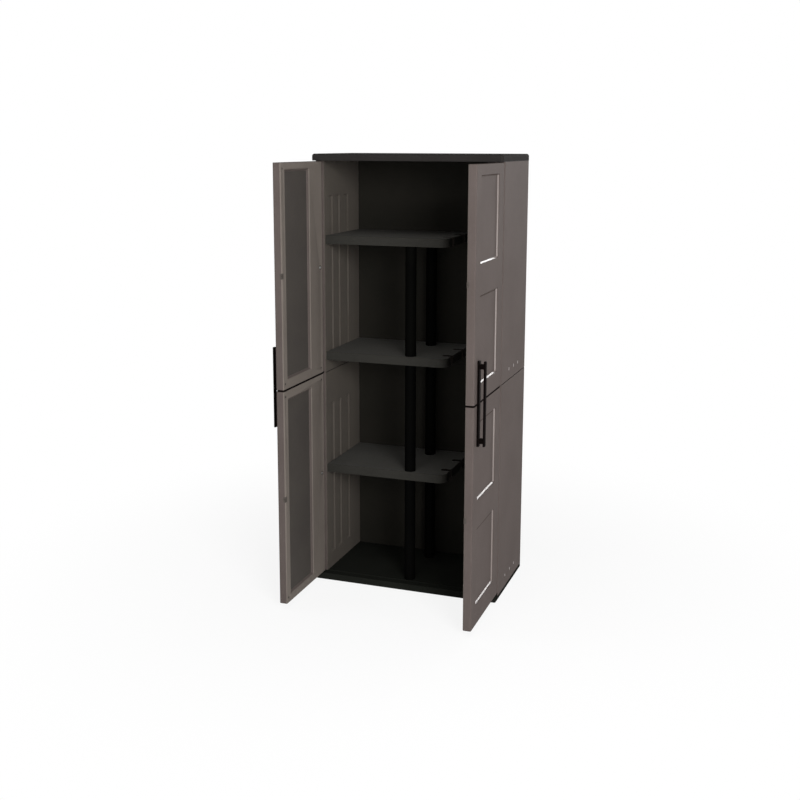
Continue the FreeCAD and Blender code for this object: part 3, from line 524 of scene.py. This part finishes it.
def paintShadeUnderLip(slab, rise, drop):
    # parts a strip from the recess floor, right below its upper side, and paints shade on it, dull
    # and dark
    floorX = outerX - door["outerDepth"]
    shadeFoot = rise[1] - door["slopeRun"] - drop

    def isOuterFloor(centre, normal):
        inRecess = rise[0] < centre.z < rise[1]
        return near(centre.x, floorX) and normal.x > straight and inRecess

    editFaces(slab, isOuterFloor)
    bpy.ops.mesh.bisect(plane_co=(0, 0, shadeFoot), plane_no=(0, 0, 1))
    bpy.ops.object.mode_set(mode="OBJECT")
    paintFaces(slab, taupeShadeDull,
               lambda centre, normal: isOuterFloor(centre, normal) and centre.z > shadeFoot)


def paintSlab(slab, level):
    # duller, darker and shinier places of a door half: painted highlights on the sloping recess
    # sides, painted shade on their upper sides, the strips under them, the bolt seats, the ends and
    # the gap, and the darker inner floors; the later ones over the earlier
    bottom, top = halves[level]
    gapEnd = top if level == "lower" else bottom
    seatY = hingeEdge - bolt["fromHinge"]
    seatZ = bolt["heights"][level]

    def isBoltSeat(centre, normal):
        across = math.hypot(centre.y - seatY, centre.z - seatZ)
        sunk = innerX + tiny / 2 < centre.x < innerX + bolt["seatDepth"] + tiny
        return sunk and across < bolt["seatRadius"] + tiny

    def isEnd(centre, normal):
        reach = min(abs(centre.z - bottom), abs(centre.z - top))
        return reach < door["endReach"] and abs(normal.z) > door["endTilt"]

    def isGapFace(centre, normal):
        return near(centre.z, gapEnd) and abs(normal.z) > straight

    # the sloping sides of the outer recesses are painted lighter, as a highlight
    paintFaces(slab, taupeDraftHighlight, isDraft)
    paintFaces(slab, taupeCoarse, isInnerFloor)
    # the upper sides of the outer recesses are painted with shade
    paintFaces(slab, taupeShadeDull, isShadedSide)
    # a strip of painted shade under the upper side of each outer recess
    for rise, drop in zip(door["outerPanels"][level], door["dirtDrop"][level]):
        paintShadeUnderLip(slab, rise, drop)
    # the seat round each hinge bolt is painted with shade
    paintFaces(slab, hollowShade, isBoltSeat)
    # the ends and their roundings are painted with dull shade
    paintFaces(slab, taupeShadeDull, isEnd)
    # the end faces at the gap between the halves are painted with shade
    paintFaces(slab, hollowShade, isGapFace)


for level, (bottom, top) in halves.items():
    slab = addBox("doorSlab", (innerX, freeEdge, bottom), (outerX, hingeEdge, top))
    coat(slab, taupe, taupeRubbed, taupeCoarse, taupeDraftHighlight, hollowShade, taupeShadeDull)
    roundEdges(slab, lambda a, b: isUpright(a, b) and near(a.y, hingeEdge),
               door["hingeRound"], door["hingeSteps"])
    roundEdges(slab, lambda a, b: isUpright(a, b) and near(a.y, freeEdge),
               door["freeRound"], door["freeSteps"])
    roundEdges(slab, lambda a, b: near(a.z, b.z) and (near(a.z, bottom) or near(a.z, top)),
               door["endRound"], door["endSteps"])
    cutters = [panelCutter(outerX, -1, door["outerDepth"], door["slopeRun"], door["outerCorner"],
                           door["outerSpan"], rise) for rise in door["outerPanels"][level]]
    cutters.append(panelCutter(innerX, 1, door["innerDepth"], door["innerDepth"],
                               door["innerCorner"], door["innerSpan"],
                               door["innerPanels"][level]))
    outside = innerX - door["cutterReach"]
    for y, z in screwPlaces(level):
        cutters.append(addLevelTube("cutter", outside, innerX + screw["headFoot"], y, z,
                                    screw["headRadius"] + screw["holePlay"]))
    cutters.append(addLevelTube("cutter", outside, innerX + bolt["seatDepth"],
                                hingeEdge - bolt["fromHinge"], bolt["heights"][level],
                                bolt["seatRadius"]))
    catchZ = catch["heights"][level]
    cutters.append(addBox(
        "cutter", (outside, freeEdge - catch["cutterReach"], catchZ - catch["halfHeight"]),
        (innerX + catch["depth"], freeEdge + catch["reach"], catchZ + catch["halfHeight"])))
    cutWith(slab, cutters)
    paintSlab(slab, level)
    sheet = copyOf(slab, "doorSheet")
    for piece, keepOuter, kind in ((slab, True, "door_shell_"), (sheet, False, "door_skin_")):
        makeActive(piece)
        bpy.ops.object.mode_set(mode="EDIT")
        bpy.ops.mesh.select_all(action="SELECT")
        bpy.ops.mesh.bisect(plane_co=(innerX + door["sheet"], 0, 0), plane_no=(1, 0, 0),
                            use_fill=True, clear_inner=keepOuter, clear_outer=not keepOuter)
        bpy.ops.object.mode_set(mode="OBJECT")
        if not keepOuter:
            # the inner skin is painted paler, as light
            piece.data.materials[0] = taupeSkinLit
        softenEdges(piece, door["edgeSoftness"], rubbedSlot=1)
        title = ("doorShell" if keepOuter else "doorSkin") + level.title()
        rename(piece, title + "Right")
        twin = mirrorCopy(piece, title + "Left")
        fit(piece, "right_door", "wall", kind + level + "_right")
        fit(twin, "left_door", "wall", kind + level + "_left")
print("doors done")


# screws of the inner skins and hinge bolts, with cross recesses
def crossHead(look, finish, y, z):
    headTop = innerX + look["headTop"]
    head = addLevelTube("head", headTop, innerX + look["headFoot"], y, z, look["headRadius"])
    coat(head, finish)
    roundEdges(head, lambda a, b: near(a.x, headTop) and near(b.x, headTop),
               look["crownRound"], crown["steps"])
    cutters = []
    length, width = look["slotLength"], look["slotWidth"]
    for wide, tall in ((length, width), (width, length)):
        cutters.append(addBox("cutter", (headTop - past, y - wide / 2, z - tall / 2),
                              (headTop + look["slotDepth"], y + wide / 2, z + tall / 2)))
    cutWith(head, cutters)
    makeActive(head)
    bpy.ops.object.shade_smooth_by_angle(angle=crown["smoothAngle"])
    return head


boltY = hingeEdge - bolt["fromHinge"]
screws = [crossHead(screw, darkSteel, y, z) for level in halves for y, z in screwPlaces(level)]
bolts = [crossHead(bolt, steel, boltY, z) for z in bolt["heights"].values()]
for heads, name, node in ((screws, "skinScrews", "skin_screws"),
                          (bolts, "hingeBolts", "hinge_bolts")):
    group = joinInto(heads[0], heads[1:])
    rename(group, name + "Right")
    twin = mirrorCopy(group, name + "Left")
    fit(group, "right_door", "steel", node + "_right")
    fit(twin, "left_door", "steel", node + "_left")
print("screws done")


# handles: rail, grip bar and two arms, welded into one soft moulding
handle = {
    "rail": 8 * mm, "grip": 8 * mm, "gripGap": 1 * mm, "gripRound": 3 * mm, "gripSteps": 3,
    "armOffset": 127 * mm, "armHeight": 17 * mm, "armWidth": 13 * mm, "edgeRound": 1.8 * mm,
}
low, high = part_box("handle_right")
middleY = (low[1] + high[1]) / 2
middleZ = (low[2] + high[2]) / 2
pull = addBox("handlePull", (outerX, low[1], low[2]), (outerX + handle["rail"], high[1], high[2]))
coat(pull, handleBlack, handleEdge)
gripBar = addBox("grip", (high[0] - handle["grip"], low[1], low[2] + handle["gripGap"]),
                 (high[0], high[1], high[2] - handle["gripGap"]))
roundEdges(gripBar, isUpright, handle["gripRound"], handle["gripSteps"])
others = [gripBar]
for side in (-1, 1):
    z = middleZ + side * handle["armOffset"]
    others.append(addBox("arm", (outerX + handle["rail"] / 2, middleY - handle["armWidth"] / 2,
                                 z - handle["armHeight"] / 2),
                         (high[0] - handle["grip"] / 2, middleY + handle["armWidth"] / 2,
                          z + handle["armHeight"] / 2)))
for other in others:
    useModifier(pull, "BOOLEAN", operation="UNION", solver="EXACT", object=other)
    bpy.data.objects.remove(other, do_unlink=True)
softenEdges(pull, handle["edgeRound"], rubbedSlot=1)
rename(pull, "handleRight")
pullLeft = mirrorCopy(pull, "handleLeft")
fit(pull, "right_door", "handle", "handle_right")
fit(pullLeft, "left_door", "handle", "handle_left")
print("handles done")


# lid: a shallow tray upside down, with soft edges; ribs, flanges and pivot bosses underneath
lid = {
    "cornerRound": 12 * mm, "topRound": 9 * mm, "roundSteps": 8, "wall": 4.5 * mm,
    "ceiling": 3 * mm, "edgeSoftness": 1 * mm,
    "ribDepth": 16 * mm, "ribWidth": 2.4 * mm, "ribsAlong": (-180 * mm, 0.0, 180 * mm),
    "ribsAcross": (-99 * mm, 0.0, 99 * mm), "ribInWall": 0.85, "ribInCeiling": 0.5 * mm,
    "bossRadius": 9 * mm, "boreRadius": 4.05 * mm, "boreDepth": 12 * mm, "bossSides": 32,
    "flangeInner": 327 * mm, "flangeFront": -165 * mm,
}
# where the upper hinge pins stand
pivot = {"x": 345 * mm, "y": -182.5 * mm}
low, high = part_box("lid")
cover = addBox("lidCover", low, high)
coat(cover, lidCharcoalLit, charcoalEdge)
roundEdges(cover, isUpright, lid["cornerRound"], lid["roundSteps"])
roundEdges(cover, lambda a, b: near(a.z, high[2]) and near(b.z, high[2]),
           lid["topRound"], lid["roundSteps"])
editFaces(cover, lambda centre, normal: normal.z < -straight)
bpy.ops.mesh.inset(thickness=lid["wall"])
ceiling = high[2] - lid["ceiling"]
bpy.ops.mesh.extrude_region_move(TRANSFORM_OT_translate={"value": (0, 0, ceiling - low[2])})
bpy.ops.object.mode_set(mode="OBJECT")
softenEdges(cover, lid["edgeSoftness"], steps=2, rubbedSlot=1)
inLid = []
ribLow = ceiling - lid["ribDepth"]
ribHigh = ceiling + lid["ribInCeiling"]
ribEnd = lid["wall"] * lid["ribInWall"]
for x in lid["ribsAlong"]:
    inLid.append(addBox("rib", (x - lid["ribWidth"] / 2, low[1] + ribEnd, ribLow),
                        (x + lid["ribWidth"] / 2, high[1] - ribEnd, ribHigh)))
for y in lid["ribsAcross"]:
    inLid.append(addBox("rib", (low[0] + ribEnd, y - lid["ribWidth"] / 2, ribLow),
                        (high[0] - ribEnd, y + lid["ribWidth"] / 2, ribHigh)))
for side in (-1, 1):
    flangeEnds = sorted((side * lid["flangeInner"], side * (high[0] - lid["wall"] / 2)))
    inLid.append(addBox("flange", (flangeEnds[0], lid["flangeFront"], low[2]),
                        (flangeEnds[1], high[1] - lid["wall"] / 2, low[2] + lid["ceiling"])))
    boss = addUprightTube("boss", side * pivot["x"], pivot["y"], low[2], ribHigh,
                          lid["bossRadius"], lid["bossSides"])
    bore = addUprightTube("bore", side * pivot["x"], pivot["y"], low[2] - past,
                          low[2] + lid["boreDepth"], lid["boreRadius"], lid["bossSides"])
    cutWith(boss, [bore])
    inLid.append(boss)
for piece in inLid:
    coat(piece, lidCharcoalLit)
joinInto(cover, inLid)
fit(cover, "cabinet", "dark", "lid")
print("lid done")


# carcass mouldings that keep their form and get soft, rubbed edges: edge radius, finish and edge
# finish, then the painted shade for joints and slots and the painted light for the shelves' upper
# faces
wallFinish = (0.9 * mm, taupe, taupeRubbed, hollowShade)
linerFinish = (0.9 * mm, taupeLinerShaded, taupeLinerWearAndShade, hollowShade)
shelfFinish = (1.2 * mm, shelfGrey, shelfEdge, shelfTopLit, hollowShade)
# the clips are painted lighter, as a highlight
clipFinish = (0.4 * mm, taupeDraftHighlight, taupeDraftHighlight)
softForms = {
    "base": (0.9 * mm, black, blackEdge),
    "back_lower": (0.8 * mm, backBlack, backEdge),
    "back_upper": (0.8 * mm, backBlack, backEdge),
    "back_strip": (0.4 * mm, black, blackEdge),
}
for side in ("left", "right"):
    for level in ("lower", "upper"):
        softForms["side_" + level + "_" + side] = wallFinish
        softForms["liner_" + level + "_" + side] = linerFinish
    for level in ("base", "seam"):
        softForms["clips_" + level + "_" + side] = clipFinish
for level in ("lower", "middle", "upper"):
    softForms["shelf_" + level] = shelfFinish

# the shadow groove that the wall halves leave where they meet, along the whole depth
seam = {
    "outerDepth": 2.2 * mm, "outerHeight": 3.2 * mm, "innerDepth": 2.4 * mm, "innerHeight": 3 * mm,
    "wallDepth": 36 * mm, "cutterReach": 5 * mm, "front": -200 * mm, "rear": 210 * mm,
}
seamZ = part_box("side_lower_right")[1][2]
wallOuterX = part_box("side_lower_right")[1][0]
linerFaceX = wallOuterX - seam["wallDepth"]


def cutSeam(obj, node):
    # cuts the half's share of the groove and paints shade into it; the liners are cut from inside
    side = -1 if node.endswith("left") else 1
    outside = node.startswith("side")
    faceX = wallOuterX if outside else linerFaceX
    inward = -1 if outside else 1
    depth = seam["outerDepth" if outside else "innerDepth"]
    height = seam["outerHeight" if outside else "innerHeight"]
    ends = sorted(side * (faceX + inward * step) for step in (-seam["cutterReach"], depth))
    cutWith(obj, [addBox("cutter", (ends[0], seam["front"], seamZ - height / 2),
                         (ends[1], seam["rear"], seamZ + height / 2))])

    def isInGroove(centre, normal):
        level = abs(centre.z - seamZ) < height / 2 + tiny / 2
        return level and abs(abs(centre.x) - faceX) < depth + tiny

    paintFaces(obj, hollowShade, isInGroove)


# the liners' upright channels, whose smooth sides face front and rear within this span; these sides
# are painted darker, as shade
channel = {"halfSpan": 150 * mm, "sideTilt": 0.3}
# the open slots in the shelves, whose sides are painted with shade
toolSlot = {
    "reach": 38.5 * mm, "halfWidth": 14 * mm, "places": (-85.5 * mm, 52.5 * mm), "sideTilt": 0.3,
}


def isChannelSide(centre, normal):
    return abs(normal.y) > channel["sideTilt"] and abs(centre.y) < channel["halfSpan"]


def paintShelf(shelf, freeSide):
    def isSlotSide(centre, normal):
        beside = [y for y in toolSlot["places"] if abs(centre.y - y) < toolSlot["halfWidth"] + tiny]
        inReach = centre.x > freeSide - toolSlot["reach"]
        return beside and inReach and abs(normal.z) < toolSlot["sideTilt"]

    # the upper faces are painted lighter, as the light that falls on them
    paintFaces(shelf, shelfTopLit, lambda centre, normal: normal.z > straight)
    # the sides of the slots are painted with shade
    paintFaces(shelf, hollowShade, isSlotSide)


# the frame's meshes are loose triangles; these make closed shells with flat faces of them
closing = {"mergeReach": 0.02 * mm, "flatAngle": math.radians(2)}


def softCopy(node, width, *finishes):
    words = node.split("_")
    twin = copyOf(nodes[node], words[0] + "".join(word.title() for word in words[1:]))
    for key in list(twin.keys()):
        if key.startswith("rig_"):
            del twin[key]
    coat(twin, *finishes)
    makeActive(twin)
    bpy.ops.object.mode_set(mode="EDIT")
    bpy.ops.mesh.select_all(action="SELECT")
    bpy.ops.mesh.remove_doubles(threshold=closing["mergeReach"])
    bpy.ops.mesh.dissolve_limited(angle_limit=closing["flatAngle"])
    bpy.ops.object.mode_set(mode="OBJECT")
    if twin.data.has_custom_normals:
        bpy.ops.mesh.customdata_custom_splitnormals_clear()
    if words[0] in ("side", "liner"):
        cutSeam(twin, node)
    if words[0] == "liner":
        # the channels' sides are painted with shade
        paintFaces(twin, taupeLinerWearAndShade, isChannelSide)
    if words[0] == "shelf":
        paintShelf(twin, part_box(node)[1][0])
    softenEdges(twin, width, steps=2, rubbedSlot=1)
    return twin


for node, finishes in softForms.items():
    fit(softCopy(node, *finishes), "cabinet", slotOf[node], node)
print("carcass done")


# posts: extruded tubes with a slightly rounded rim
post = {"wall": 2.5 * mm, "rimRound": 0.5 * mm}
for column in ("front", "rear"):
    for level in ("lower", "middle", "upper"):
        node = "post_" + column + "_" + level
        low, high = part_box(node)
        radius = (high[0] - low[0]) / 2
        tube = addUprightTube("tube", (low[0] + high[0]) / 2, (low[1] + high[1]) / 2,
                              low[2], high[2], radius)
        coat(tube, postBlack)
        editFaces(tube, lambda centre, normal: abs(normal.z) > straight)
        bpy.ops.mesh.inset(thickness=post["wall"], use_individual=True)
        bpy.ops.mesh.bridge_edge_loops()
        bpy.ops.object.mode_set(mode="OBJECT")
        softenEdges(tube, post["rimRound"], steps=2)
        rename(tube, "post" + column.title() + level.title())
        fit(tube, "cabinet", "post", node)
print("posts done")


# stage: floor, light and camera
stage = {
    "floorSize": 30.0, "fadeFrom": 0.5, "fadeTo": 1.9, "whiteShare": 0.85,
    "floorColour": "#FAFAFA", "worldColour": "#FFFFFF", "worldStrength": 0.24,
}
view = {
    # where the photograph was taken from, fitted to the cabinet's corners
    "place": (1.3265, -3.9789, 1.6702), "turn": 19.56, "tilt": 9.98, "roll": -0.13,
    "focalPixels": 1113.9, "framePixels": 800, "sensor": 36.0,
    "middleX": 400, "middleY": 340,
}
lamps = (
    {"name": "softBoxKey", "place": (3.4, -4.7, 2.35), "aim": (0, 0, 0.8), "size": (2.2, 2.0),
     "power": 300},
    {"name": "softBoxFront", "place": (0.3, -4.4, 1.7), "aim": (0, 0, 0.8), "size": (2.2, 2.2),
     "power": 14},
    {"name": "softBoxTop", "place": (0.2, -2.6, 4.2), "aim": (0, -0.2, 0.9), "size": (2.0, 2.0),
     "power": 36},
    {"name": "softBoxLeft", "place": (-3.8, -1.8, 2.6), "aim": (0, 0, 0.8), "size": (2.4, 2.4),
     "power": 30},
    {"name": "stripRight", "place": (3.0, -1.1, 0.7), "aim": (0.36, -0.3, 1.0), "size": (0.55, 1.5),
     "power": 8},
    # a leaning band behind, which the lower slopes of the door panels mirror to the camera
    {"name": "bandRear", "place": (1.62, 4.0, 1.78), "aim": (0.36, -0.35, 0.7), "size": (2.7, 0.6),
     "power": 50, "lean": 39.7},
)

deselectAll()
bpy.ops.mesh.primitive_plane_add(size=stage["floorSize"], location=(0, 0, 0))
floor = bpy.context.object
floor.name = "studioFloor"
floorMaterial, tree = newMaterial("paleStudioFloor")
place = addNode(tree, "ShaderNodeTexCoord").outputs["Object"]
distance = addNode(tree, "ShaderNodeVectorMath", {"operation": "LENGTH"}, {0: place})
fade = addNode(tree, "ShaderNodeMapRange",
               {"interpolation_type": "SMOOTHSTEP", "From Min": stage["fadeFrom"],
                "From Max": stage["fadeTo"], "To Min": stage["whiteShare"]},
               {"Value": distance.outputs["Value"]})
rays = addNode(tree, "ShaderNodeLightPath")
seen = addNode(tree, "ShaderNodeMath", {"operation": "MAXIMUM"},
               {0: rays.outputs["Is Camera Ray"], 1: rays.outputs["Is Glossy Ray"]})
share = addNode(tree, "ShaderNodeMath", {"operation": "MULTIPLY"},
                {0: seen.outputs[0], 1: fade.outputs["Result"]})
matt = addNode(tree, "ShaderNodeBsdfDiffuse", {"Color": linearColour(stage["floorColour"])})
white = addNode(tree, "ShaderNodeEmission", {"Color": (1, 1, 1, 1), "Strength": 1.0})
mixed = addNode(tree, "ShaderNodeMixShader", None,
                {0: share.outputs[0], 1: matt.outputs[0], 2: white.outputs[0]})
addNode(tree, "ShaderNodeOutputMaterial", None, {"Surface": mixed.outputs[0]})
floor.data.materials.append(floorMaterial)

world = bpy.data.worlds.new("studio")
bpy.context.scene.world = world
world.use_nodes = True
tree = world.node_tree
tree.nodes.clear()
rays = addNode(tree, "ShaderNodeLightPath")
seen = addNode(tree, "ShaderNodeMath", {"operation": "MAXIMUM"},
               {0: rays.outputs["Is Camera Ray"], 1: rays.outputs["Is Glossy Ray"]})
seenAll = addNode(tree, "ShaderNodeMath", {"operation": "MAXIMUM"},
                  {0: seen.outputs[0], 1: rays.outputs["Is Transmission Ray"]})
soft = addNode(tree, "ShaderNodeBackground",
               {"Color": linearColour(stage["worldColour"]), "Strength": stage["worldStrength"]})
plain = addNode(tree, "ShaderNodeBackground", {"Color": (1, 1, 1, 1), "Strength": 1.0})
mixed = addNode(tree, "ShaderNodeMixShader", None,
                {0: seenAll.outputs[0], 1: soft.outputs[0], 2: plain.outputs[0]})
addNode(tree, "ShaderNodeOutputWorld", None, {"Surface": mixed.outputs[0]})

for lamp in lamps:
    deselectAll()
    bpy.ops.object.light_add(type="AREA", location=lamp["place"])
    light = bpy.context.object
    light.name = lamp["name"]
    light.data.shape = "RECTANGLE"
    light.data.size, light.data.size_y = lamp["size"]
    light.data.energy = lamp["power"]
    light.visible_camera = False
    toward = Vector(lamp["aim"]) - Vector(lamp["place"])
    lean = Quaternion((0, 0, 1), math.radians(lamp.get("lean", 0)))
    light.rotation_euler = (toward.to_track_quat("-Z", "Y") @ lean).to_euler()

deselectAll()
bpy.ops.object.camera_add(
    location=view["place"],
    rotation=[math.radians(angle) for angle in (90 - view["tilt"], view["roll"], view["turn"])],
)
camera = bpy.context.object
camera.name = "photoCamera"
camera.data.sensor_width = view["sensor"]
camera.data.lens = view["focalPixels"] / view["framePixels"] * view["sensor"]
camera.data.shift_x = (view["framePixels"] / 2 - view["middleX"]) / view["framePixels"]
camera.data.shift_y = (view["middleY"] - view["framePixels"] / 2) / view["framePixels"]
bpy.context.scene.camera = camera
bpy.context.scene.view_settings.view_transform = "Standard"
print("stage done")
